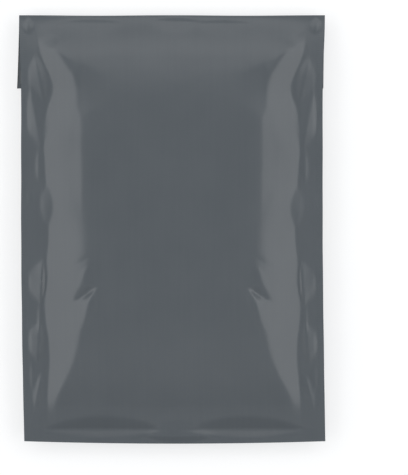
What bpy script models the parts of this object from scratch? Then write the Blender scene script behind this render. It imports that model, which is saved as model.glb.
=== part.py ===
"""Poly mailer bag for goods of about 5 x 7 inches, filled, closed and lying on its back.

X runs across the bag, +Y towards its mouth and +Z up from the table. The origin is on the table, under the
middle of the bag. The front panel lies up. At the mouth it runs on as the closing flap, which is folded
under the back panel with its adhesive strip and the liner that protects it.
"""

import math

import bmesh
import bpy
from mathutils import Matrix, Vector

# The film as it is cut and welded
BAG_WIDTH = 0.127
BAG_LENGTH = 0.178
FLAP_LENGTH = 0.030
FILM = 0.0006
WELD_WIDTH = 0.0028

# What the filling takes up of the flat film at each side, at the mouth and over the length
SIDE_TAKE_UP = 0.00145
MOUTH_TAKE_UP = 0.00095
LENGTH_TAKE_UP = 0.0011
BOTTOM_BOW = 0.0014
LEAN = 0.0012
LEAN_POWER = 1.5

# Heights over the table: the top of the filling, and the seam at the sides, the mouth and the bottom fold
FILL_HEIGHT = 0.0160
CROWN = 0.0007
SIDE_HEIGHT = 0.0078
MOUTH_HEIGHT = 0.0050
BOTTOM_HEIGHT = 0.0062
MOUTH_SETTLE = 0.018
BOTTOM_SETTLE = 0.034

# Front panel: nearly flat margin, then the straight shoulder, and the top that falls off towards both ends
CREASE_INSET = 0.0094
MARGIN_RISE = 0.0006
SHOULDER_SLOPE = 0.46
SHOULDER_CORNER = 0.0008
SOFT_CORNER = 0.0032
SOFT_PLACE = 0.022
SOFT_REACH = 0.030
MOUTH_RUN = 0.042
MOUTH_SOFTNESS = 0.004
CORNER_DELAY = 0.010
CORNER_POWER = 4
BOTTOM_RUN = 0.046
BOTTOM_TAIL = 0.0135
TAIL_SHARE = 0.09
TAIL_SLOPE = 0.3
TAIL_END = 0.008
TAIL_FADE = 0.014

# Back panel: the share of the full swelling at which it lies on the table, and how gently it leaves it
CONTACT_SHARE = 0.70
LIFT_POWER = 1.5
FLAP_STEP_RUN = 0.012

# Adhesive strip and liner on the inner side of the flap
STRIP_WIDTH = 0.0054
STRIP_EDGE = 0.0025
ADHESIVE = 0.0003
LINER = 0.0003
CLEARANCE = 0.0003
STRIP_END = 0.0004

# Folds beside the left weld, with a near mirror of them on the right. Each is a crest from one end to the
# other, (place along the bag, distance in from the edge), its outer and inner flank's width and its height.
GATHERS = (
    ((0.0720, 0.0060), (0.0520, 0.0094), 0.0048, 0.0036, 0.0009),
    ((0.0570, 0.0036), (0.0330, 0.0082), 0.0034, 0.0050, 0.0008),
    ((0.0345, 0.0076), (0.0190, 0.0072), 0.0018, 0.0020, 0.0004),
    ((0.0185, 0.0104), (0.0010, 0.0110), 0.0030, 0.0026, 0.0005),
    ((-0.0120, 0.0092), (-0.0305, 0.0080), 0.0050, 0.0014, 0.0009),
    ((-0.0375, 0.0076), (-0.0545, 0.0062), 0.0054, 0.0030, 0.0009),
    ((-0.0580, 0.0084), (-0.0745, 0.0046), 0.0018, 0.0026, 0.0005),
)
RIGHT_SHIFT = 0.0008
RIGHT_SHARE = 0.9
# Where the crease beside the filling runs further in: place along the bag, reach, and how far in
CREASE_SHIFTS = (
    (0.0885, 0.0150, -0.0035),
    (0.0580, 0.0080, 0.0034),
    (-0.0040, 0.0110, 0.0014),
    (-0.0530, 0.0130, 0.0016),
)
# Folds over the filling: crest or dip from one (x, y) to the other, flank widths below and above it, height
TOP_FOLDS = (
    ((-0.0439, -0.0306), (-0.0300, -0.0222), 0.0020, 0.0035, -0.0015),
    ((-0.0420, -0.0439), (-0.0290, -0.0222), 0.0050, 0.0026, 0.0017),
    ((-0.0414, -0.0137), (-0.0331, -0.0087), 0.0015, 0.0025, -0.0005),
    ((-0.0410, -0.0252), (-0.0324, -0.0112), 0.0030, 0.0020, 0.0010),
    ((0.0300, -0.0222), (0.0439, -0.0306), 0.0020, 0.0035, -0.0015),
    ((0.0290, -0.0222), (0.0420, -0.0439), 0.0050, 0.0026, 0.0017),
    ((0.0331, -0.0087), (0.0414, -0.0137), 0.0015, 0.0025, -0.0005),
    ((0.0324, -0.0112), (0.0410, -0.0252), 0.0030, 0.0020, 0.0010),
)
# Folds along the bottom and the mouth, in the same form
EDGE_FOLDS = (
    ((-0.0520, -0.0824), (-0.0080, -0.0824), 0.0040, 0.0052, -0.0016),
    ((0.0090, -0.0824), (0.0530, -0.0822), 0.0040, 0.0052, -0.0016),
    ((-0.0080, 0.0850), (0.0140, 0.0850), 0.0030, 0.0026, -0.0005),
)
FOLD_SOFTNESS = 0.20
SEAM_WAVE = 0.0005
SEAM_WAVE_PERIOD = 0.027
SEAM_WAVE_POWER = 4
MOUTH_WAVE = 0.00025
MOUTH_WAVE_PERIOD = 0.062

# Mesh: columns across the bag and rows along it, closer together towards the edges
COLUMNS = 44
ROWS = 56
FLAP_ROWS = 3
COLUMN_CROWDING = 0.56
ROW_CROWDING = 0.24
FOLD_STEPS = 4

HALF_WIDTH = BAG_WIDTH / 2
HALF_LENGTH = (BAG_LENGTH - LENGTH_TAKE_UP) / 2
STRIP_START = FLAP_LENGTH - STRIP_EDGE - STRIP_WIDTH
FLAP_FALL = (MOUTH_HEIGHT - FILM / 2 - FILM) / (FLAP_LENGTH - FILM)
WAVE_PLAY = 2 * MOUTH_WAVE * FLAP_FALL
FLAP_STACK = ADHESIVE + LINER + 3 * CLEARANCE + WAVE_PLAY

FILM_GREY = (0.092, 0.102, 0.112, 1)
ADHESIVE_AMBER = (0.72, 0.68, 0.55, 1)
LINER_GREY = (0.27, 0.27, 0.27, 1)


def clear_scene():
    for old in list(bpy.data.objects):
        bpy.data.objects.remove(old, do_unlink=True)


def ease(share):
    """Smooth step from 0 to 1."""
    held = min(1.0, max(0.0, share))
    return held * held * (3 - 2 * held)


def quarter(share):
    """Quarter wave: rises at once and levels out at 1."""
    return math.sin(math.pi / 2 * min(1.0, max(0.0, share)))


def soft_lower(one, other, softness):
    """The lower of two heights, with the corner between them rounded."""
    return (one + other - math.hypot(one - other, softness)) / 2


def bumps(places, along):
    """Sum of the soft bumps in a list of (place, reach, height)."""
    return sum(height * math.exp(-(((along - place) / reach) ** 2)) for place, reach, height in places)


def crowd(share, crowding):
    """Moves even stations from -1 to 1 closer together towards both ends."""
    return (1 - crowding) * share + crowding * math.sin(math.pi / 2 * share)


def mouth_y(across):
    """The mouth fold's line, which waves a little."""
    return HALF_LENGTH + MOUTH_WAVE * (math.cos(2 * math.pi * across * HALF_WIDTH / MOUTH_WAVE_PERIOD) - 1)


def bottom_y(across):
    """The bottom fold's line, bowed outwards in the middle by the filling."""
    return -HALF_LENGTH + BOTTOM_BOW * across * across


def half_width(y):
    """From the middle of the bag to its weld."""
    mouth_share = ease((HALF_LENGTH - y) / FLAP_LENGTH)
    return HALF_WIDTH - MOUTH_TAKE_UP - (SIDE_TAKE_UP - MOUTH_TAKE_UP) * mouth_share


def middle_x(y):
    """The bag leans a little to one side towards its bottom."""
    return LEAN * max(0.0, -y / HALF_LENGTH) ** LEAN_POWER


def flap_half_width(from_fold):
    """The flap keeps its cut width at its free edge, where no filling draws it in."""
    held = MOUTH_TAKE_UP * (1 - min(1.0, from_fold / FLAP_LENGTH) ** 2)
    return HALF_WIDTH - held


def flap_outer_z(from_fold):
    """The flap falls straight from the mouth fold to the table, where its free edge lies."""
    return FLAP_FALL * (FLAP_LENGTH - from_fold)


def flap_inner_z(from_fold):
    return flap_outer_z(from_fold) + FILM


def seam_z(across, y):
    """Height of the seam's plane: the middle between the front and back film."""
    settled = 1 - ease((HALF_LENGTH - y) / MOUTH_SETTLE)
    sunk = 1 - ease((y + HALF_LENGTH) / BOTTOM_SETTLE)
    level = SIDE_HEIGHT - (SIDE_HEIGHT - MOUTH_HEIGHT) * settled - (SIDE_HEIGHT - BOTTOM_HEIGHT) * sunk
    wave = SEAM_WAVE * math.sin(2 * math.pi * y / SEAM_WAVE_PERIOD)
    return level + wave * (1 - settled) * (1 - sunk) * across**SEAM_WAVE_POWER


def soft_positive(value, softness):
    """Near zero where the value is negative, with a rounded corner."""
    return (value + math.hypot(value, softness)) / 2


def fold(along, over, start, end, before, after, height):
    """A tent-shaped fold with a lens-shaped foot along a crest. before and after are its flank widths."""
    run_along, run_over = end[0] - start[0], end[1] - start[1]
    length = math.hypot(run_along, run_over)
    share = ((along - start[0]) * run_along + (over - start[1]) * run_over) / length**2
    side = ((over - start[1]) * run_along - (along - start[0]) * run_over) / length
    if run_along < 0:
        side = -side
    width = after if side > 0 else before
    lift = max(-1.0, 1 - (2 * share - 1) ** 2 - abs(side) / width)
    return height * (soft_positive(lift, FOLD_SOFTNESS) - soft_positive(-1.0, FOLD_SOFTNESS))


def folds(creases, x, y):
    return sum(fold(x, y, *crease) for crease in creases)


def gathers(across, y):
    """Height of the small folds beside the welds."""
    inset = (1 - abs(across)) * half_width(y)
    place, share = (y, 1.0) if across < 0 else (y + RIGHT_SHIFT, RIGHT_SHARE)
    return share * folds(GATHERS, place, inset) * ease((inset - WELD_WIDTH / 2) / WELD_WIDTH)


def full_rise(across, y):
    """Height of the flat top over the welds."""
    crown = CROWN * (across * across + (y / HALF_LENGTH) ** 2) / 2
    return FILL_HEIGHT - crown - seam_z(across, y) - FILM / 2 - MARGIN_RISE


def bottom_share(across, y):
    """The bag is nearly empty over the bottom fold, then fills up."""
    inset = y - bottom_y(across) - FILM / 2
    tail = TAIL_SHARE * min(1.0, max(0.0, inset / BOTTOM_TAIL))
    return tail + (1 - TAIL_SHARE) * quarter((inset - BOTTOM_TAIL) / BOTTOM_RUN)


def end_share(across, y):
    """Share of the full rise that the two closed ends allow here. The corners at the mouth fill up last."""
    delay = CORNER_DELAY * abs(across) ** CORNER_POWER
    inset = mouth_y(across) - FILM - y - delay
    over = soft_positive(inset, MOUTH_SOFTNESS) - soft_positive(-delay, MOUTH_SOFTNESS)
    return quarter(over / MOUTH_RUN) * bottom_share(across, y)


def rise(across, y):
    """Height over the welds: nearly flat margin, straight shoulder, and the top."""
    inset = (1 - abs(across)) * half_width(y)
    crease = CREASE_INSET + bumps(CREASE_SHIFTS, y)
    ends = end_share(across, y)
    softened = SOFT_CORNER * math.exp(-(((y - SOFT_PLACE) / SOFT_REACH) ** 2))
    corner = (SHOULDER_CORNER + softened) * math.sqrt(ends)
    over_tail = ease((y - bottom_y(across) - TAIL_END) / TAIL_FADE)
    slope = SHOULDER_SLOPE * (TAIL_SLOPE + (1 - TAIL_SLOPE) * over_tail)
    top = full_rise(across, y) * ends + folds(TOP_FOLDS, across * HALF_WIDTH, y)
    shoulder = soft_lower(slope * (inset - crease), top, corner)
    on_margin = min(1.0, max(0.0, (inset - WELD_WIDTH) / (crease - WELD_WIDTH)))
    return MARGIN_RISE * ends * on_margin + max(0.0, shoulder)


def swelling(across, y):
    """Share of the full swelling at a place."""
    return rise(across, y) / (full_rise(across, y) + MARGIN_RISE)


def front_z(across, y):
    low = seam_z(across, y) + FILM / 2 + folds(EDGE_FOLDS, across * HALF_WIDTH, y)
    return low + rise(across, y) + gathers(across, y)


def over_flap_z(from_fold):
    """The back panel's lowest place over the flap, its adhesive and its liner."""
    gap = FLAP_STACK * min(1.0, from_fold / STRIP_START)
    if from_fold <= FLAP_LENGTH:
        return flap_inner_z(from_fold) + gap
    return (FILM + FLAP_STACK) * (1 - ease((from_fold - FLAP_LENGTH) / FLAP_STEP_RUN))


def back_z(across, y):
    """The back panel lies on the table under the filling and hangs up to the welds around it."""
    lift = max(0.0, 1 - swelling(across, y) / CONTACT_SHARE) ** LIFT_POWER
    hanging = (seam_z(across, y) - FILM / 2) * lift
    return max(hanging, over_flap_z(mouth_y(across) - y))


def row_y(across, row):
    """Place along the bag of a row, counted from the bottom fold to the mouth fold."""
    share = (1 + crowd(2 * row / ROWS - 1, ROW_CROWDING)) / 2
    low = bottom_y(across) + FILM / 2
    high = mouth_y(across) - FILM
    return low + (high - low) * share


def ring(across):
    """One closed outline along the bag: front, mouth fold, flap, back and bottom fold."""
    points = []
    for row in range(ROWS + 1):
        y = row_y(across, row)
        points.append((middle_x(y) + across * half_width(y), y, front_z(across, y)))
    mouth = mouth_y(across)
    crease_z = MOUTH_HEIGHT - FILM / 2
    for step in range(1, FOLD_STEPS + 1):
        angle = math.pi / 2 - math.pi * step / FOLD_STEPS
        y = mouth - FILM + FILM * math.cos(angle)
        points.append((across * half_width(y), y, crease_z + FILM * math.sin(angle)))
    flap = []
    for step in range(1, FLAP_ROWS + 1):
        from_fold = FILM + (FLAP_LENGTH - FILM) * step / FLAP_ROWS
        flap.append((across * flap_half_width(from_fold), mouth - from_fold, from_fold))
    points += [(x, y, flap_outer_z(from_fold)) for x, y, from_fold in flap]
    points += [(x, y, flap_inner_z(from_fold)) for x, y, from_fold in reversed(flap)]
    for row in range(ROWS, -1, -1):
        y = row_y(across, row)
        points.append((middle_x(y) + across * half_width(y), y, back_z(across, y)))
    y = bottom_y(across)
    points.append((middle_x(y) + across * half_width(y), y, seam_z(across, y)))
    return points


def close_side(bm, rim, inwards):
    """Closes one open end of the skin along the weld's edge and the flap's edge."""

    def face(*indices):
        corners = [rim[i] for i in indices]
        bm.faces.new(corners[::-1] if inwards else corners)

    fold_end = ROWS + FOLD_STEPS
    flap_in = fold_end + FLAP_ROWS + 1
    crease = flap_in + FLAP_ROWS
    last = len(rim) - 1
    for row in range(ROWS):
        face(row, row + 1, crease + ROWS - row - 1, crease + ROWS - row)
    for step in range(FOLD_STEPS):
        face(crease, ROWS + step, ROWS + step + 1)
    for step in range(FLAP_ROWS):
        inner_near = crease - step
        face(fold_end + step, fold_end + step + 1, inner_near - 1, inner_near)
    face(last, 0, last - 1)


def make_object(name, bm, material):
    mesh = bpy.data.meshes.new(name)
    bm.to_mesh(mesh)
    bm.free()
    mesh.materials.append(material)
    made = bpy.data.objects.new(name, mesh)
    bpy.context.collection.objects.link(made)
    return made


def make_material(name, colour, roughness):
    material = bpy.data.materials.new(name)
    material.use_nodes = True
    shader = material.node_tree.nodes["Principled BSDF"]
    shader.inputs["Base Color"].default_value = colour
    shader.inputs["Roughness"].default_value = roughness
    shader.inputs["Metallic"].default_value = 0.0
    return material


def make_film_bag():
    """The welded and folded film with its filling: one closed skin from weld to weld."""
    bm = bmesh.new()
    rings = []
    for column in range(COLUMNS + 1):
        across = crowd(2 * column / COLUMNS - 1, COLUMN_CROWDING)
        rings.append([bm.verts.new(point) for point in ring(across)])
    for left, right in zip(rings, rings[1:]):
        for i in range(len(left)):
            following = (i + 1) % len(left)
            bm.faces.new((left[i], right[i], right[following], left[following]))
    close_side(bm, rings[0], inwards=False)
    close_side(bm, rings[-1], inwards=True)
    bmesh.ops.recalc_face_normals(bm, faces=bm.faces)
    bag = make_object("film_bag", bm, make_material("grey_film", FILM_GREY, 0.36))
    bag.data.shade_smooth()
    return bag


def make_strip(name, thickness, over_flap, material):
    """A flat strip across the flap, parallel to the flap's inner side and this far over it."""
    slope = math.atan(FLAP_FALL)
    middle = STRIP_START + STRIP_WIDTH / 2
    length = 2 * (flap_half_width(STRIP_START) - STRIP_END)
    bm = bmesh.new()
    size = Matrix.Diagonal((length, STRIP_WIDTH, thickness, 1))
    bmesh.ops.create_cube(bm, size=1, matrix=size)
    strip = make_object(name, bm, material)
    strip.rotation_euler = (slope, 0, 0)
    surface = Vector((0, HALF_LENGTH - 2 * MOUTH_WAVE - middle, flap_inner_z(middle)))
    normal = Vector((0, -math.sin(slope), math.cos(slope)))
    strip.location = surface + normal * (over_flap + thickness / 2)
    return strip


def main():
    clear_scene()
    make_film_bag()
    adhesive = make_material("hot_melt", ADHESIVE_AMBER, 0.30)
    liner = make_material("coated_liner", LINER_GREY, 0.45)
    make_strip("adhesive_strip", ADHESIVE, CLEARANCE, adhesive)
    make_strip("release_liner", LINER, 2 * CLEARANCE + ADHESIVE, liner)


main()
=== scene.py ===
# %% [markdown]
# # A filled poly mailer, lying on its back
#
# A poly mailer is one length of plastic film. It is folded at the bottom, heat-welded down both sides, and
# its front panel runs on past the mouth as a flap with a strip of hot-melt adhesive under a peel-off liner.
# Filled with soft goods it turns into a low pillow: flat on top, steep at the shoulders, and gathered into
# small folds beside the welds, because the welds are too long for the shorter, swollen bag.
#
# The packed solids come first. They are the fixed frame that every piece below has to fit.

# %% Load the packed bag
import math

import bpy
import numpy as np
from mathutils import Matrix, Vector, noise


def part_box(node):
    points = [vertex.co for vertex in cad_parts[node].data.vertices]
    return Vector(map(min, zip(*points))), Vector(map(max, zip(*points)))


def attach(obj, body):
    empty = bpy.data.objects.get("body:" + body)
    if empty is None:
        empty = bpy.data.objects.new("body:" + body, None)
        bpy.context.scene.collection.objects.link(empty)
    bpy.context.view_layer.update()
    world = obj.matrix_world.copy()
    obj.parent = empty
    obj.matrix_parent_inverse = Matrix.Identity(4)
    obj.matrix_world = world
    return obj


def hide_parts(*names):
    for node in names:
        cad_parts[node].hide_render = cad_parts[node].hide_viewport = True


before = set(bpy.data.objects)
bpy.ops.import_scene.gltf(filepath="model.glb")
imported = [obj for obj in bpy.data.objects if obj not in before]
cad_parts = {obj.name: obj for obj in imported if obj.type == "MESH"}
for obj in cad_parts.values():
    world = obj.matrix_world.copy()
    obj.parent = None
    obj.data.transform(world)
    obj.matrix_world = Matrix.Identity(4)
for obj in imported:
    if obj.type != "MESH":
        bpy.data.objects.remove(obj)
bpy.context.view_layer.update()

bag_low, bag_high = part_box("film_bag")
print("bag of", [round(1000 * side, 1) for side in bag_high - bag_low], "mm")

# %% [markdown]
# ## Soft curves for the shape
#
# The film could be blown up with a cloth simulation. A formula is used here instead: the photographed bag
# has its folds in known places, and a formula can put them there and gives the same shape each time. Each
# function works on whole arrays of points, one value per vertex. The formula is built up from a few soft
# curves.

# %% Soft curves
def ease(share):
    """Smooth step from 0 to 1."""
    held = np.clip(share, 0, 1)
    return held * held * (3 - 2 * held)


def quarter(share):
    """Quarter wave: rises at once and levels out at 1."""
    return np.sin(np.pi / 2 * np.clip(share, 0, 1))


def soft_lower(one, other, softness):
    """The lower of two heights, with the corner between them rounded."""
    return (one + other - np.sqrt((one - other) ** 2 + softness**2)) / 2


def soft_positive(value, softness):
    """Near zero where the value is negative, with a rounded corner."""
    return (value + np.sqrt(value * value + softness**2)) / 2


def bumps(places, along):
    """Sum of soft bumps given as (place, reach, height)."""
    return sum(height * np.exp(-(((along - place) / reach) ** 2)) for place, reach, height in places)


print("ease at a quarter and a half:", ease(np.array([0.25, 0.5])))

# %% [markdown]
# ## The outline
#
# A filled bag is narrower than its film, because the filling takes up width. Only the flap, folded behind,
# keeps the full width. The outline could be drawn as a curve, but the film also needs to know how far every
# inner point lies from the edge. So each edge is a short function. "across" runs from -1 at the left edge
# to 1 at the right edge, and y runs along the bag, from the bottom fold to the mouth.

# %% Outline of the filled bag
HALF_WIDTH = bag_high.x
HALF_LENGTH = bag_high.y
FLAP_LENGTH = 0.030
MOUTH_TAKE_UP = 0.0004
SIDE_TAKE_UP = 0.00145
MOUTH_WAVE = 0.0001
MOUTH_WAVE_PERIOD = 0.062
BOTTOM_BOW = 0.0010
LEAN = 0.0012
LEAN_POWER = 1.5


def mouth_y(across):
    wave = np.cos(2 * np.pi * across * HALF_WIDTH / MOUTH_WAVE_PERIOD) - 1
    return HALF_LENGTH + MOUTH_WAVE * wave


def bottom_y(across):
    return -HALF_LENGTH + BOTTOM_BOW * across**2


def half_width(y):
    share = ease((HALF_LENGTH - y) / FLAP_LENGTH)
    return HALF_WIDTH - MOUTH_TAKE_UP - (SIDE_TAKE_UP - MOUTH_TAKE_UP) * share


def middle_x(y):
    """The lower half leans a little to the right."""
    return LEAN * np.maximum(0, -y / HALF_LENGTH) ** LEAN_POWER


for place_name, place_y in {"mouth": HALF_LENGTH, "middle": 0.0, "bottom": -HALF_LENGTH}.items():
    print("width at the", place_name, round(2000 * float(half_width(place_y)), 2), "mm")

# %% [markdown]
# ## The level of the welds
#
# The welds hang between the two panels. The filling lifts them off the table along the sides, they sink
# towards the mouth and the bottom, and along the sides they go up and down in a slow wave, because they are
# too long. A simulation would find this wave by itself. A sine that fades out at both ends is enough here,
# and easy to change.

# %% Height of the welds over the table
SIDE_HEIGHT = 0.0078
MOUTH_HEIGHT = 0.0050
BOTTOM_HEIGHT = 0.0062
MOUTH_SETTLE = 0.018
BOTTOM_SETTLE = 0.034
SEAM_WAVE = 0.0005
SEAM_WAVE_PERIOD = 0.027
SEAM_WAVE_POWER = 4


def seam_z(across, y):
    """Level between the panels. Its wave is strongest at the side edges."""
    settled = 1 - ease((HALF_LENGTH - y) / MOUTH_SETTLE)
    sunk = 1 - ease((y + HALF_LENGTH) / BOTTOM_SETTLE)
    level = SIDE_HEIGHT - (SIDE_HEIGHT - MOUTH_HEIGHT) * settled - (SIDE_HEIGHT - BOTTOM_HEIGHT) * sunk
    wave = SEAM_WAVE * np.sin(2 * np.pi * y / SEAM_WAVE_PERIOD)
    return level + wave * (1 - settled) * (1 - sunk) * np.abs(across) ** SEAM_WAVE_POWER


print("welds at", round(1000 * float(seam_z(1.0, 0.0)), 2), "mm half way up the bag")

# %% [markdown]
# ## The flat top and the two closed ends
#
# The filling presses the front panel up to an almost flat top. Towards the mouth it falls in one round
# sweep. Towards the bottom fold it falls further and leaves a thin, nearly empty tail. Both falls are
# shares of the full height, from 0 to 1, so that they can be multiplied with each other.

# %% Height of the top and its fall to both ends
FILL_HEIGHT = 0.0160
FILM = 0.00025
SOLID_FILM = 0.0006
CROWN = 0.0007
MARGIN_RISE = 0.0006
MOUTH_RUN = 0.042
MOUTH_SOFTNESS = 0.004
CORNER_DELAY = 0.010
CORNER_POWER = 4
BOTTOM_RUN = 0.046
BOTTOM_TAIL = 0.0135
BOTTOM_SOFTNESS = 0.003
TAIL_SHARE = 0.09


def full_rise(across, y):
    """Height of the flat top over the level of the welds."""
    crown = CROWN * (across**2 + (y / HALF_LENGTH) ** 2) / 2
    return FILL_HEIGHT - crown - seam_z(across, y) - FILM / 2 - MARGIN_RISE


def bottom_share(across, y):
    """The bag is nearly empty over the bottom fold, then fills up."""
    inset = y - bottom_y(across) - SOLID_FILM / 2
    tail = TAIL_SHARE * np.clip(inset / BOTTOM_TAIL, 0, 1)
    beyond = soft_positive(inset - BOTTOM_TAIL, BOTTOM_SOFTNESS)
    beyond = beyond - soft_positive(-BOTTOM_TAIL, BOTTOM_SOFTNESS)
    return tail + (1 - TAIL_SHARE) * quarter(beyond / BOTTOM_RUN)


def end_share(across, y):
    """Share of the full rise that the two closed ends allow here. The corners fill last."""
    delay = CORNER_DELAY * np.abs(across) ** CORNER_POWER
    inset = mouth_y(across) - SOLID_FILM - y - delay
    inset = soft_positive(inset, MOUTH_SOFTNESS) - soft_positive(-delay, MOUTH_SOFTNESS)
    return quarter(inset / MOUTH_RUN) * bottom_share(across, y)


print("top stands", round(1000 * float(full_rise(0.0, 0.0)), 2), "mm over the welds")

# %% [markdown]
# ## One fold
#
# A fold in film is a crest that starts from nothing, is highest half way along and ends in nothing, with
# one steep and one gentle flank. It could be pulled up by hand with proportional editing. A small function
# does the same for any number of folds, and only the ends of the crest, the two flank widths and the height
# have to be given.

# %% The fold function
FOLD_SOFTNESS = 0.20


def fold(across, along, start, end, before, after, height):
    """A tent-shaped fold with a lens-shaped foot.

    start and end are the ends of its crest as (along, across). before and after are its flank widths
    towards lower and higher across, whichever way the crest runs.
    """
    run = np.subtract(end, start)
    length = math.hypot(*run)
    step_along, step_across = run / length
    ahead, aside = along - start[0], across - start[1]
    share = (ahead * step_along + aside * step_across) / length
    side = aside * step_along - ahead * step_across
    if step_along < 0:
        side = -side
    width = np.where(side > 0, after, before)
    tent = 1 - (2 * share - 1) ** 2 - np.abs(side) / width
    foot = soft_positive(-1.0, FOLD_SOFTNESS)
    return height * (soft_positive(np.maximum(tent, -1.0), FOLD_SOFTNESS) - foot)


middle_of_fold = fold(0.0, 0.5, (0, 0), (1, 0), 0.1, 0.1, 1.0)
print("a fold stands", round(float(middle_of_fold), 2), "of its given height half way along")

# %% [markdown]
# ## Folds over the filling and along the two ends
#
# The inner edge of each shoulder is broken by a spur and a notch, where the filling's lower corners pull on
# the film. Longer folds run along the mouth and the bottom. Each row below gives a crest or, with a
# negative height, a dip: where it starts and ends as (x, y), its flank widths below and above it, and its
# height. The folds at the shoulders are alike on both sides, so only the left ones are listed.

# %% List the folds over the filling
def with_mirrored(creases):
    """The folds of the left half and, after them, the same folds on the right."""
    right = []
    for (start_x, start_y), (end_x, end_y), *rest in creases:
        right.append(((-end_x, end_y), (-start_x, start_y), *rest))
    return creases + tuple(right)


def folds(creases, x, y):
    """Height of folds given as (start, end, flank below, flank above, height)."""
    total = np.zeros_like(y)
    for start, end, below, above, height in creases:
        total += fold(y, x, start, end, below, above, height)
    return total


TOP_FOLDS = with_mirrored((
    ((-0.0449, -0.0316), (-0.0312, -0.0232), 0.0022, 0.0037, -0.0014),
    ((-0.0435, -0.0447), (-0.0306, -0.0230), 0.0050, 0.0030, 0.0016),
    ((-0.0424, -0.0160), (-0.0343, -0.0110), 0.0017, 0.0025, -0.0005),
    ((-0.0420, -0.0272), (-0.0338, -0.0135), 0.0030, 0.0022, 0.0010),
    ((-0.0535, 0.0760), (-0.0400, 0.0685), 0.0130, 0.0080, 0.0004),
    ((-0.0385, 0.0680), (-0.0375, 0.0460), 0.0040, 0.0120, -0.0010),
    ((-0.0380, 0.0520), (-0.0375, 0.0060), 0.0050, 0.0140, 0.0009),
))
# Along the bottom and in both upper corners, then one more at the bottom and three at the mouth
EDGE_FOLDS = with_mirrored((
    ((-0.0570, -0.0824), (-0.0040, -0.0824), 0.0040, 0.0052, -0.0019),
    ((-0.0596, 0.0874), (-0.0594, 0.0806), 0.0030, 0.0022, 0.0008),
)) + (
    ((-0.0130, -0.0850), (0.0170, -0.0850), 0.0032, 0.0060, 0.0014),
    ((-0.0480, 0.0852), (-0.0200, 0.0852), 0.0060, 0.0016, 0.0004),
    ((-0.0080, 0.0860), (0.0120, 0.0856), 0.0052, 0.0016, 0.0006),
    ((0.0090, 0.0850), (0.0320, 0.0850), 0.0060, 0.0016, 0.0004),
)
print(len(TOP_FOLDS), "folds over the filling and", len(EDGE_FOLDS), "along the ends")

# %% [markdown]
# ## Gathers beside the welds
#
# The weld is as long as the flat bag, but the filled bag's side is shorter, so the margin beside the weld
# buckles into small gathers. They follow the side edge, so each is given by its place along the bag and its
# distance in from that edge. The right margin is a near mirror of the left: a little shifted and a little
# lower, because an exact mirror would look made by machine.

# %% List the gathers
WELD_WIDTH = 0.0028
RIGHT_SHIFT = 0.0008
RIGHT_SHARE = 0.9
# Both ends of the crest as (y, distance in), the widths of the outer and inner flank, and the height
GATHERS = (
    ((0.0720, 0.0062), (0.0520, 0.0096), 0.0054, 0.0034, 0.0013),
    ((0.0585, 0.0040), (0.0330, 0.0084), 0.0052, 0.0050, 0.0010),
    ((0.0345, 0.0076), (0.0190, 0.0072), 0.0018, 0.0020, 0.0004),
    ((0.0160, 0.0030), (0.0085, 0.0024), 0.0016, 0.0020, 0.0003),
    ((0.0185, 0.0104), (0.0010, 0.0110), 0.0032, 0.0026, 0.0007),
    ((-0.0120, 0.0092), (-0.0305, 0.0080), 0.0064, 0.0016, 0.0014),
    ((-0.0290, 0.0076), (-0.0425, 0.0074), 0.0012, 0.0012, 0.0003),
    ((-0.0375, 0.0076), (-0.0545, 0.0062), 0.0056, 0.0030, 0.0012),
    ((-0.0530, 0.0040), (-0.0670, 0.0040), 0.0015, 0.0015, 0.0003),
    ((-0.0580, 0.0084), (-0.0745, 0.0046), 0.0026, 0.0026, 0.0008),
)


def gathers(across, y):
    """Height of the gathers beside both welds. The welds themselves stay flat."""
    inset = (1 - np.abs(across)) * half_width(y)
    total = np.zeros_like(y)
    for start, end, outer, inner, height in GATHERS:
        left = fold(inset, y, start, end, outer, inner, height)
        right = RIGHT_SHARE * fold(inset, y + RIGHT_SHIFT, start, end, outer, inner, height)
        total += np.where(across < 0, left, right)
    return total * ease((inset - WELD_WIDTH / 2) / WELD_WIDTH)


print(2 * len(GATHERS), "gathers, the highest", 1000 * max(gather[-1] for gather in GATHERS), "mm")

# %% [markdown]
# ## Shoulders
#
# Between the nearly flat margin and the flat top the film climbs in a straight, steep shoulder, which is
# what catches the light. It starts at a crease that wanders in and out along the bag. A bevel could make
# it, but the film is simply the lower of two surfaces, the shoulder's slope and the top, with a soft corner
# between them, and then the shoulder's upper edge follows the top by itself. Lower slopes at the mouth and
# over the tail let the shoulder run out there.

# %% The crease, the shoulder and the top as one surface
CREASE_INSET = 0.0094
# Place along the bag, reach, and how far the crease moves inwards there
CREASE_SHIFTS = (
    (0.0885, 0.0150, -0.0035),
    (0.0580, 0.0080, 0.0034),
    (0.0330, 0.0130, -0.0014),
    (-0.0040, 0.0110, 0.0014),
    (-0.0530, 0.0130, 0.0016),
)
SHOULDER_SLOPE = 0.46
TAIL_SLOPE = 0.3
TAIL_END = 0.008
TAIL_FADE = 0.014
MOUTH_SLOPE = 0.45
MOUTH_END = 0.0085
MOUTH_FADE = 0.007
SHOULDER_CORNER = 0.0008
# Place along the bag, reach, and how much softer the corner is there
SOFTER_CORNERS = ((0.022, 0.030, 0.0033),)


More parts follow.
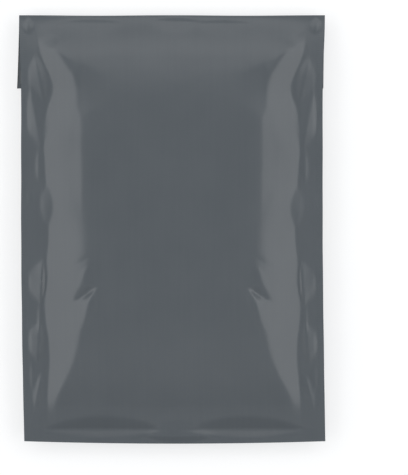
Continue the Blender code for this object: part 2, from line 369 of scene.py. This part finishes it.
def rise(across, y):
    """Height over the welds: nearly flat margin, straight shoulder, and the top that falls to both ends."""
    inset = (1 - np.abs(across)) * half_width(y)
    crease = CREASE_INSET + bumps(CREASE_SHIFTS, y)
    ends = end_share(across, y)
    corner = SHOULDER_CORNER + bumps(SOFTER_CORNERS, y)
    over_tail = ease((y - bottom_y(across) - TAIL_END) / TAIL_FADE)
    off_mouth = ease((mouth_y(across) - y - MOUTH_END) / MOUTH_FADE)
    slope = SHOULDER_SLOPE * (TAIL_SLOPE + (1 - TAIL_SLOPE) * over_tail)
    slope = slope * (MOUTH_SLOPE + (1 - MOUTH_SLOPE) * off_mouth)
    top = full_rise(across, y) * ends + folds(TOP_FOLDS, across * HALF_WIDTH, y)
    shoulder = soft_lower(slope * (inset - crease), top, corner * np.sqrt(ends))
    on_margin = MARGIN_RISE * ends * np.clip((inset - WELD_WIDTH) / (crease - WELD_WIDTH), 0, 1)
    return on_margin + np.maximum(0, shoulder)


def swelling(across, y):
    """Share of the full height that the bag reaches here."""
    return rise(across, y) / (full_rise(across, y) + MARGIN_RISE)


print("shoulder climbs at", round(math.degrees(math.atan(SHOULDER_SLOPE)), 1), "degrees")

# %% [markdown]
# ## Front and back panel
#
# The front panel is the welds' level, the rise and the small folds on top of each other. The back panel
# lies flat on the table wherever the bag is full, and it lifts towards the welds where the bag is thin.
# Near the mouth the flap and its two strips lie under it, so there it rests on them and slopes down with
# the flap. Elsewhere it is kept a little below the front. The two panels could be two pieces, but both are
# worked out for the same points, so they stay joined at the welds.

# %% Heights of both panels
CONTACT_SHARE = 0.70
LIFT_POWER = 1.5
FLAP_STEP_RUN = 0.012
FLAP_STACK = 0.0016
STRIP_START = 0.0221
FLAP_FALL = (MOUTH_HEIGHT - 1.5 * SOLID_FILM) / (FLAP_LENGTH - SOLID_FILM)


def front_z(across, y):
    low = seam_z(across, y) + FILM / 2 + folds(EDGE_FOLDS, across * HALF_WIDTH, y)
    return low + rise(across, y) + gathers(across, y)


def over_flap_z(from_fold):
    """Height at which the back panel clears the folded flap and its strips."""
    gap = FLAP_STACK * np.minimum(1, from_fold / STRIP_START)
    on_flap = FLAP_FALL * (FLAP_LENGTH - from_fold) + SOLID_FILM + gap
    beyond = (SOLID_FILM + FLAP_STACK) * (1 - ease((from_fold - FLAP_LENGTH) / FLAP_STEP_RUN))
    return np.where(from_fold < FLAP_LENGTH, on_flap, beyond)


def back_z(across, y):
    lift = np.maximum(0, 1 - swelling(across, y) / CONTACT_SHARE) ** LIFT_POWER
    hanging = np.minimum((seam_z(across, y) - FILM / 2) * lift, front_z(across, y) - 2 * FILM)
    return np.maximum(hanging, over_flap_z(mouth_y(across) - y))


print("flap falls at", round(math.degrees(math.atan(FLAP_FALL)), 1), "degrees under the bag")

# %% [markdown]
# ## The film, flat and empty
#
# The bag comes off the machine flat, so it is modelled flat first: a thin slab as wide as the film and as
# long as the bag and its open flap. The filled shape could be modelled at once, but starting from the flat
# bag keeps rows and columns in line with the welds, as the real film's are, and the marks on the film can
# be set while it is flat. Two cuts with bisect mark where the front panel turns over into the flap.

# %% Lay down the slab
ARC_BAND = 0.001


def deselect_all():
    bpy.ops.object.select_all(action="DESELECT")


deselect_all()
bpy.ops.mesh.primitive_cube_add(
    size=1,
    location=(0, FLAP_LENGTH / 2, 0),
    scale=(2 * HALF_WIDTH, 2 * HALF_LENGTH + FLAP_LENGTH, FILM),
)
bag_film = bpy.context.object
bag_film.name = bag_film.data.name = "bag_film"
bpy.ops.object.transform_apply(location=True, rotation=False, scale=True)
bpy.ops.object.mode_set(mode="EDIT")
for cut_y in (HALF_LENGTH, HALF_LENGTH + ARC_BAND):
    bpy.ops.mesh.select_all(action="SELECT")
    bpy.ops.mesh.bisect(plane_co=(0, cut_y, 0), plane_no=(0, 1, 0))
bpy.ops.mesh.select_mode(type="EDGE")
bpy.ops.object.mode_set(mode="OBJECT")
print("flat slab:", [round(1000 * side, 2) for side in bag_film.dimensions], "mm")

# %% [markdown]
# ## Rows and columns
#
# The film needs enough points to take folds of a millimetre. Loop cuts would be the way by hand. In a
# script, subdivide does the same once the right edges are selected: those that run across the bag for the
# columns, and those that run along it for the rows. Each is done in two passes. The bag gets the finest
# rows, the fold at the mouth a few, and the flap under the bag some more.

# %% Pick edges by where they run
SLIVER = 1e-5


def points_of(mesh):
    coordinates = np.empty(3 * len(mesh.vertices))
    mesh.vertices.foreach_get("co", coordinates)
    return coordinates.reshape(-1, 3)


def pick_edges(piece, wanted):
    """Selects, in edit mode's edge mode, the edges for which wanted(start, end) is true, as arrays."""
    bpy.ops.object.mode_set(mode="OBJECT")
    mesh = piece.data
    ends = np.empty(2 * len(mesh.edges), int)
    mesh.edges.foreach_get("vertices", ends)
    points = points_of(mesh)
    start, end = points[ends[::2]], points[ends[1::2]]
    for elements in (mesh.vertices, mesh.polygons):
        elements.foreach_set("select", np.zeros(len(elements), bool))
    mesh.edges.foreach_set("select", wanted(start, end))
    bpy.ops.object.mode_set(mode="EDIT")


def runs_across(start, end):
    return np.abs(start[:, 0] - end[:, 0]) > SLIVER


def runs_along_between(low, high):
    def wanted(start, end):
        lengthwise = np.abs(start[:, 1] - end[:, 1]) > SLIVER
        past_low = np.minimum(start[:, 1], end[:, 1]) > low - SLIVER
        before_high = np.maximum(start[:, 1], end[:, 1]) < high + SLIVER
        return lengthwise & past_low & before_high
    return wanted


print("slab has", len(bag_film.data.edges), "edges to pick from")

# %% Subdivide the slab
COLUMNS = (15, 10)
ROWS = (27, 10)
ARC_ROWS = 6
FLAP_ROWS = 12


def split(pieces, wanted):
    """Cuts each wanted edge of the slab into this many pieces."""
    pick_edges(bag_film, wanted)
    bpy.ops.mesh.subdivide(number_cuts=pieces - 1)


for pieces in COLUMNS:
    split(pieces, runs_across)
for pieces in ROWS:
    split(pieces, runs_along_between(-HALF_LENGTH, HALF_LENGTH))
split(ARC_ROWS, runs_along_between(HALF_LENGTH, HALF_LENGTH + ARC_BAND))
split(FLAP_ROWS, runs_along_between(HALF_LENGTH + ARC_BAND, HALF_LENGTH + FLAP_LENGTH))
bpy.ops.object.mode_set(mode="OBJECT")
print("flat bag:", len(bag_film.data.vertices), "points")

# %% [markdown]
# ## Crowd the rows and columns
#
# The finest folds lie beside the welds and near the two ends. More points everywhere would be wasted on the
# flat top, so the rows and columns that are there already are moved outwards.

# %% Crowd them towards the edges
COLUMN_CROWDING = 0.60
ROW_CROWDING = 0.20


def crowd(share, crowding):
    """Moves shares from -1 to 1 towards both ends."""
    return (1 - crowding) * share + crowding * np.sin(np.pi / 2 * share)


mesh = bag_film.data
flat = points_of(mesh)
on_body = flat[:, 1] < HALF_LENGTH + SLIVER
flat[:, 0] = HALF_WIDTH * crowd(flat[:, 0] / HALF_WIDTH, COLUMN_CROWDING)
flat[on_body, 1] = HALF_LENGTH * crowd(flat[on_body, 1] / HALF_LENGTH, ROW_CROWDING)
mesh.vertices.foreach_set("co", flat.ravel())
mesh.update()
column_gaps = 1000 * np.diff(np.unique(flat[:, 0].round(5)))
print("columns", round(column_gaps.min(), 2), "to", round(column_gaps.max(), 2), "mm apart")

# %% [markdown]
# ## Marks that stay with the film
#
# The film is grey outside and black inside. Only the flap's inner side shows, and along its two side edges
# the grey rolls round, up to a thin line at the cut. Two materials could be used. One material that reads
# an attribute is simpler, and the side is easy to tell while the bag is flat. The flat place of each corner
# is kept as the UV map, so that marks such as the weld follow the film wherever it is folded.

# %% Note the inner side and the flat place
ROLLED_EDGE = 0.0025
CUT_LINE = 0.0004
FLAT_NORMAL = 0.5

from_side = np.array([HALF_WIDTH - abs(polygon.center.x) for polygon in mesh.polygons])
under_flap = np.array([
    polygon.center.z < 0 and polygon.center.y > HALF_LENGTH and abs(polygon.normal.z) > FLAT_NORMAL
    for polygon in mesh.polygons
])
on_inner_side = under_flap & ((from_side > ROLLED_EDGE) | (from_side < CUT_LINE))
inner_side = mesh.attributes.new("inner_side", "FLOAT", "FACE")
inner_side.data.foreach_set("value", on_inner_side.astype(float))

cut_map = mesh.uv_layers.active
cut_map.name = "cut_film"
loop_vertices = np.empty(len(mesh.loops), int)
mesh.loops.foreach_get("vertex_index", loop_vertices)
cut_map.data.foreach_set("uv", flat[loop_vertices][:, :2].ravel())
print(int(on_inner_side.sum()), "faces of", len(mesh.polygons), "show the black side")

# %% [markdown]
# ## Fill the bag
#
# Now each point of the two panels moves from its flat place to its place on the filled bag. Two sizes of
# faint noise are added to the front, because film never lies as smooth as a formula. A Displace modifier
# could add the noise, but here it can fade out towards the welds.

# %% Places on the two panels
MOTTLE = 0.00012
MOTTLE_SIZE = 0.016
CRINKLE = 0.000035
CRINKLE_SIZE = 0.0045


def uneven(points, size):
    """Smooth noise from -1 to 1 with features of about this size."""
    return np.array([noise.noise(Vector(point) / size) for point in points])


along = flat[:, 1]
outer = flat[:, 2] > 0
across = flat[:, 0] / HALF_WIDTH
mouth, bottom = mouth_y(across), bottom_y(across)
share = (1 + np.clip(along / HALF_LENGTH, -1, 1)) / 2
y = bottom + FILM / 2 + (mouth - FILM - bottom - FILM / 2) * share
x = middle_x(y) + across * half_width(y)
film_noise = MOTTLE * uneven(np.column_stack([x, y, 0 * x]), MOTTLE_SIZE)
film_noise += CRINKLE * uneven(np.column_stack([x, y, 0 * x + 1]), CRINKLE_SIZE)
film_noise *= ease((1 - np.abs(across)) * HALF_WIDTH / WELD_WIDTH)
body_z = np.where(outer, front_z(across, y) + film_noise, back_z(across, y))
print("front panel reaches", round(1000 * body_z[on_body].max(), 2), "mm")

# %% [markdown]
# ## Fold the flap under
#
# The front panel turns over at the mouth in a tight half circle and runs back under the bag, down to the
# table. The flap could be a piece of its own. It stays part of the same mesh, because the real flap is the
# front panel running on. Its side edges roll down a little, and it lies slightly to the left, so that it
# shows beside the bag.

# %% Places on the mouth fold and the flap
FLAP_SHIFT = -0.0008
EDGE_ROLL = 0.0003
ROLL_RUN = 0.2

crease_z = MOUTH_HEIGHT - SOLID_FILM / 2
turn = np.clip((along - HALF_LENGTH) / ARC_BAND, 0, 1) * np.pi
arc_y = mouth - FILM + np.where(outer, FILM * np.sin(turn), 0)
arc_z = crease_z + np.where(outer, FILM * np.cos(turn), 0)

flap_share = np.clip((along - HALF_LENGTH - ARC_BAND) / (FLAP_LENGTH - ARC_BAND), 0, 1)
from_fold = FILM + (FLAP_LENGTH - FILM) * flap_share
from_cut = (1 - np.abs(across)) * HALF_WIDTH
rolled = EDGE_ROLL * np.clip(1 - from_cut / ROLLED_EDGE, 0, 1) ** 2 * quarter(flap_share / ROLL_RUN)
inner_z = crease_z + (SOLID_FILM - crease_z) * flap_share
flap_x = across * (HALF_WIDTH - MOUTH_TAKE_UP * (1 - flap_share**2)) + FLAP_SHIFT * flap_share
flap_y = mouth - from_fold
flap_z = inner_z - rolled - np.where(outer, FILM, 0)
on_flap = along > HALF_LENGTH + ARC_BAND - SLIVER
print("flap comes down to", round(1000 * flap_z[on_flap].min(), 2), "mm over the table")

# %% Move every point and close the seams
MERGE_DISTANCE = 1e-6
SHARP_ANGLE = 50

filled = np.column_stack([x, y, body_z])
filled[~on_body] = np.column_stack([across * half_width(arc_y), arc_y, arc_z])[~on_body]
filled[on_flap] = np.column_stack([flap_x, flap_y, flap_z])[on_flap]
mesh.vertices.foreach_set("co", filled.ravel())
mesh.update()

deselect_all()
bag_film.select_set(True)
bpy.context.view_layer.objects.active = bag_film
bpy.ops.object.mode_set(mode="EDIT")
bpy.ops.mesh.select_mode(type="VERT")
bpy.ops.mesh.select_all(action="SELECT")
bpy.ops.mesh.remove_doubles(threshold=MERGE_DISTANCE)
bpy.ops.mesh.normals_make_consistent(inside=False)
bpy.ops.object.mode_set(mode="OBJECT")
bpy.ops.object.shade_smooth_by_angle(angle=math.radians(SHARP_ANGLE))
triangles = sum(len(polygon.vertices) - 2 for polygon in mesh.polygons)
print("filled bag:", len(mesh.polygons), "faces,", triangles, "triangles")

# %% [markdown]
# ## Shader maths in Python
#
# A material's pattern could be wired by hand in the shader editor. Written as sums and products it is
# shorter and easier to read. One small class wraps a node's output, and each operator adds the node that
# does it.

# %% The socket class
class Value:
    """A node's output that takes part in sums and products."""

    def __init__(self, tree, socket):
        self.tree, self.socket = tree, socket

    def node(self, kind, settings=None, inputs=None, output=0):
        """Adds a node of this kind. Its settings come first, then the values or links of its sockets."""
        made = self.tree.nodes.new(kind)
        for name, setting in (settings or {}).items():
            setattr(made, name, setting)
        for name, value in (inputs or {}).items():
            if isinstance(value, Value):
                self.tree.links.new(value.socket, made.inputs[name])
            elif value is not None:
                made.inputs[name].default_value = value
        return Value(self.tree, made.outputs[output])

    def math(self, operation, other=None):
        return self.node("ShaderNodeMath", {"operation": operation}, {0: self, 1: other})

    def __add__(self, other):
        return self.math("ADD", other)

    def __sub__(self, other):
        return self.math("SUBTRACT", other)

    def __mul__(self, other):
        return self.math("MULTIPLY", other)

    def __rsub__(self, other):
        return (self * -1) + other

    __radd__ = __add__
    __rmul__ = __mul__

    def above(self, edge, width):
        """0 below the edge and 1 above it, with a soft step of this width."""
        return self.node(
            "ShaderNodeMapRange", {"interpolation_type": "SMOOTHSTEP"},
            {"Value": self, "From Min": edge - width / 2, "From Max": edge + width / 2},
        )

    def mixed(self, low, high):
        """From the colour low to the colour high as this value goes from 0 to 1."""
        return self.node("ShaderNodeMix", {"data_type": "RGBA"}, {0: self, 6: low, 7: high}, output=2)


print("shader maths knows", [name for name in vars(Value) if not name.startswith("__")])

# %% Start a material and feed its shader
def new_material(name):
    """A new material, its shader node, and that node's output, from which other nodes are added."""
    material = bpy.data.materials.new(name)
    material.use_nodes = True
    shader = material.node_tree.nodes["Principled BSDF"]
    return material, shader, Value(material.node_tree, shader.outputs[0])


def feed(shader, name, value):
    """Links a pattern to one of the shader's sockets."""
    value.tree.links.new(value.socket, shader.inputs[name])


print("materials so far:", len(bpy.data.materials))

# %% [markdown]
# ## The film's colour
#
# Polyethylene film is blown as a tube and drawn off lengthwise, so its grey is a little uneven: soft
# clouds, and faint streaks along the bag. An image of film could be wrapped round the bag instead, but it
# would blur in close views. Noise read through the UV map, stretched lengthwise, gives streaks that follow
# the film.

# %% Film colour
FILM_GREY = (0.094, 0.106, 0.116, 1)
FILM_GREY_LIGHT = (0.102, 0.114, 0.124, 1)
INNER_BLACK = (0.012, 0.012, 0.013, 1)
CLOUD_SCALE = 60.0
STREAK_SCALE = 700.0
STREAK_STRETCH = (1.0, 0.03, 1.0)
CLOUD_SHARE = 0.6

film, film_shader, start = new_material("grey_film")
place = start.node("ShaderNodeTexCoord", output="Object")
cut = start.node("ShaderNodeUVMap", {"uv_map": "cut_film"})
inner = start.node("ShaderNodeAttribute", {"attribute_name": "inner_side"}, output="Fac")
cloud = start.node("ShaderNodeTexNoise", inputs={"Vector": place, "Scale": CLOUD_SCALE, "Detail": 3.0})
stretched = start.node("ShaderNodeMapping", inputs={"Vector": cut, "Scale": STREAK_STRETCH})
streaks = start.node("ShaderNodeTexNoise", inputs={
    "Vector": stretched, "Scale": STREAK_SCALE, "Detail": 2.0,
})
tone = (cloud * CLOUD_SHARE + streaks * (1 - CLOUD_SHARE)).above(0.5, width=0.5)
feed(film_shader, "Base Color", inner.mixed(tone.mixed(FILM_GREY, FILM_GREY_LIGHT), INNER_BLACK))
print(film.name, "has", len(film.node_tree.nodes), "nodes for its colour")

# %% [markdown]
# ## The film's sheen and relief
#
# Film has a soft sheen: its highlights are wide and dull. A fine grain and the streaks break them up, and
# the heat bars press fine cross ribs into the welds. Ribs a fraction of a millimetre apart would take
# millions of faces, so they are bump only. All of the relief goes through one Bump node.

# %% Film relief and roughness
RIB_PITCH = 0.0009
RIB_HEIGHT = 0.00003
WELD_EDGE = 0.0004
MOUTH_EDGE = 0.0002
GRAIN_SCALE = 1400.0
FILM_RELIEF = 0.28
BUMP_STRENGTH = 0.3
LOWEST_ROUGHNESS = 0.27
ROUGHNESS_SPREAD = 0.04
FILM_IOR = 1.51

grain = start.node("ShaderNodeTexNoise", inputs={"Vector": place, "Scale": GRAIN_SCALE, "Detail": 2.0})
cut_x = start.node("ShaderNodeSeparateXYZ", inputs={"Vector": cut}, output="X")
cut_y = start.node("ShaderNodeSeparateXYZ", inputs={"Vector": cut}, output="Y")
beside_edge = cut_x.math("ABSOLUTE").above(HALF_WIDTH - WELD_WIDTH, WELD_EDGE)
on_weld = beside_edge * (1 - cut_y.above(HALF_LENGTH, MOUTH_EDGE))
ribs = (cut_y * (2 * math.pi / RIB_PITCH)).math("SINE") * on_weld
relief = (grain + streaks) * FILM_RELIEF + ribs - on_weld
bump = start.node("ShaderNodeBump", inputs={
    "Strength": BUMP_STRENGTH, "Distance": RIB_HEIGHT, "Height": relief,
})
feed(film_shader, "Normal", bump)
feed(film_shader, "Roughness", cloud * ROUGHNESS_SPREAD + LOWEST_ROUGHNESS)
film_shader.inputs["IOR"].default_value = FILM_IOR
print(film.name, "has", len(film.node_tree.nodes), "nodes in all")

# %% [markdown]
# ## The film takes the solid's place
#
# The fine film stands for the packed bag, which stays hidden for collision. It is a padded piece, because
# the soft goods inside fill it.

# %% Hand the film over
bag_film.data.materials.clear()
bag_film.data.materials.append(film)
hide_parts("film_bag")
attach(bag_film, "root")
print(bag_film.name, "replaces film_bag")

# %% [markdown]
# ## The adhesive and its liner
#
# Both strips are plain and hidden under the bag, so the packed solids stay and only get their finishes.
# Hot-melt adhesive is laid down warm: it is amber, glossy and a little wavy. The liner is a dull grey film.
# Both finishes are two close colours in soft clouds, so one function makes them.

# %% Strip materials
LINER_GREY = (0.25, 0.25, 0.255, 1)
LINER_GREY_LIGHT = (0.29, 0.29, 0.295, 1)
AMBER = (0.66, 0.58, 0.40, 1)
AMBER_LIGHT = (0.76, 0.70, 0.54, 1)
STRIP_BUMP_STRENGTH = 0.5


def strip_material(name, colours, roughness, scale, wave):
    """A strip's finish: its two colours in clouds of this scale, and a relief of this height in metres."""
    material, shader, start = new_material(name)
    place = start.node("ShaderNodeTexCoord", output="Object")
    clouds = start.node("ShaderNodeTexNoise", inputs={"Vector": place, "Scale": scale, "Detail": 2.0})
    feed(shader, "Base Color", clouds.above(0.5, width=0.5).mixed(*colours))
    feed(shader, "Normal", start.node("ShaderNodeBump", inputs={
        "Strength": STRIP_BUMP_STRENGTH, "Distance": wave, "Height": clouds,
    }))
    shader.inputs["Roughness"].default_value = roughness
    return material


finishes = {
    "release_liner": strip_material(
        "release_film", (LINER_GREY, LINER_GREY_LIGHT), roughness=0.42, scale=300.0, wave=0.00005
    ),
    "adhesive_strip": strip_material(
        "hot_melt", (AMBER, AMBER_LIGHT), roughness=0.24, scale=220.0, wave=0.00015
    ),
}
for node, material in finishes.items():
    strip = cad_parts[node]
    strip.data.materials.clear()
    strip.data.materials.append(material)
    print(node, "finished as", material.name)

# %% [markdown]
# ## The floor
#
# The floor is plain pale paper. In the photograph the ground is pure white, which more light could give,
# but then the bag would be too bright. Instead the camera, and the reflections, see the floor half as
# paper, which keeps the bag's shadow, and half as a white glow. The light that the floor throws back on the
# bag is the paper's.

# %% Lay the floor
FLOOR_SIZE = 12
FLOOR_DROP = 0.0001
PAPER_WHITE = (0.9, 0.9, 0.9, 1)
PAPER_ROUGHNESS = 0.9
GLOW_SHARE = 0.5
GLOW_STRENGTH = 1.25

deselect_all()
bpy.ops.mesh.primitive_plane_add(size=FLOOR_SIZE, location=(0, 0, -FLOOR_DROP))
floor = bpy.context.object
floor.name = "floor"
paper, paper_shader, start = new_material("pale_floor")
paper_shader.inputs["Base Color"].default_value = PAPER_WHITE
paper_shader.inputs["Roughness"].default_value = PAPER_ROUGHNESS
rays = [start.node("ShaderNodeLightPath", output=name)
        for name in ("Is Camera Ray", "Is Glossy Ray", "Is Transmission Ray")]
seen = sum(rays) * GLOW_SHARE
glow = start.node("ShaderNodeEmission", inputs={"Color": (1, 1, 1, 1), "Strength": GLOW_STRENGTH})
blend = start.node("ShaderNodeMixShader", inputs={0: seen, 1: start, 2: glow})
start.tree.links.new(blend.socket, start.tree.nodes["Material Output"].inputs["Surface"])
floor.data.materials.append(paper)
print("floor of", FLOOR_SIZE, "m")

# %% [markdown]
# ## The lights
#
# Film this smooth shows its lamps as plain shapes, so where they stand matters more than how bright they
# are. A lamp overhead would light the flat top and hide the folds. Instead a wide soft box on either side
# lights both shoulders at once, and one beyond the mouth lights the slope there. A weak one beyond the
# bottom keeps that slope from going dark, and a pale sky fills the rest.

# %% Place the soft boxes
SKY = (0.9, 0.95, 1, 1)
SKY_STRENGTH = 0.40
# Direction from +X and elevation in degrees, distance and the lamp's two sides in metres, power in watts
SOFT_BOXES = {
    "left_box": (180, 37, 0.9, (1.2, 0.55), 3.2),
    "right_box": (0, 37, 0.9, (1.2, 0.55), 3.2),
    "mouth_box": (90, 44, 1.0, (1.6, 0.56), 2.7),
    "foot_box": (270, 62, 1.0, (1.2, 0.30), 0.34),
}


def softbox(name, direction, elevation, distance, size, power):
    """An area lamp aimed at the middle of the bag."""
    bearing, height = math.radians(direction), math.radians(elevation)
    away = Vector((
        math.cos(bearing) * math.cos(height), math.sin(bearing) * math.cos(height), math.sin(height),
    ))
    bpy.ops.object.light_add(type="AREA", location=away * distance)
    lamp = bpy.context.object
    lamp.name = name
    lamp.data.shape = "RECTANGLE"
    lamp.data.size, lamp.data.size_y = size
    lamp.data.energy = power
    lamp.rotation_euler = away.to_track_quat("Z", "Y").to_euler()
    print(name, "at", [round(metres, 2) for metres in lamp.location], "m")


for name, setup in SOFT_BOXES.items():
    softbox(name, *setup)

world = bpy.data.worlds.new("studio")
bpy.context.scene.world = world
world.use_nodes = True
sky = world.node_tree.nodes["Background"]
sky.inputs["Color"].default_value = SKY
sky.inputs["Strength"].default_value = SKY_STRENGTH

# %% [markdown]
# ## The camera
#
# The photograph looks square on at the front panel. The bag lies on its back, so the camera looks straight
# down from a metre away. The bag's size and place in the photograph give the lens and where the camera
# stands. The lens is worked out for the height of the mouth's edge, which is part of the bag's outline.

# %% Set the camera
PIXELS_PER_MM = 2.423
PHOTO_WIDTH, PHOTO_HEIGHT = 408, 475
BAG_MIDDLE_PX = (172, 229.4)
CAMERA_HEIGHT = 1.0
SENSOR = 36.0
CLIP_START = 0.01

aim_x = (PHOTO_WIDTH / 2 - BAG_MIDDLE_PX[0]) / PIXELS_PER_MM / 1000
aim_y = (BAG_MIDDLE_PX[1] - PHOTO_HEIGHT / 2) / PIXELS_PER_MM / 1000
view_width = PHOTO_WIDTH / PIXELS_PER_MM / 1000
bpy.ops.object.camera_add(location=(aim_x, aim_y, CAMERA_HEIGHT), rotation=(0, 0, 0))
camera = bpy.context.object
camera.data.sensor_fit = "HORIZONTAL"
camera.data.sensor_width = SENSOR
camera.data.lens = SENSOR * (CAMERA_HEIGHT - MOUTH_HEIGHT) / view_width
camera.data.clip_start = CLIP_START
bpy.context.scene.camera = camera
bpy.context.scene.view_settings.view_transform = "Standard"
print("lens of", round(camera.data.lens), "mm")

# %% [markdown]
# ## The sizes
#
# The fine film must not outgrow the solid that it stands for.
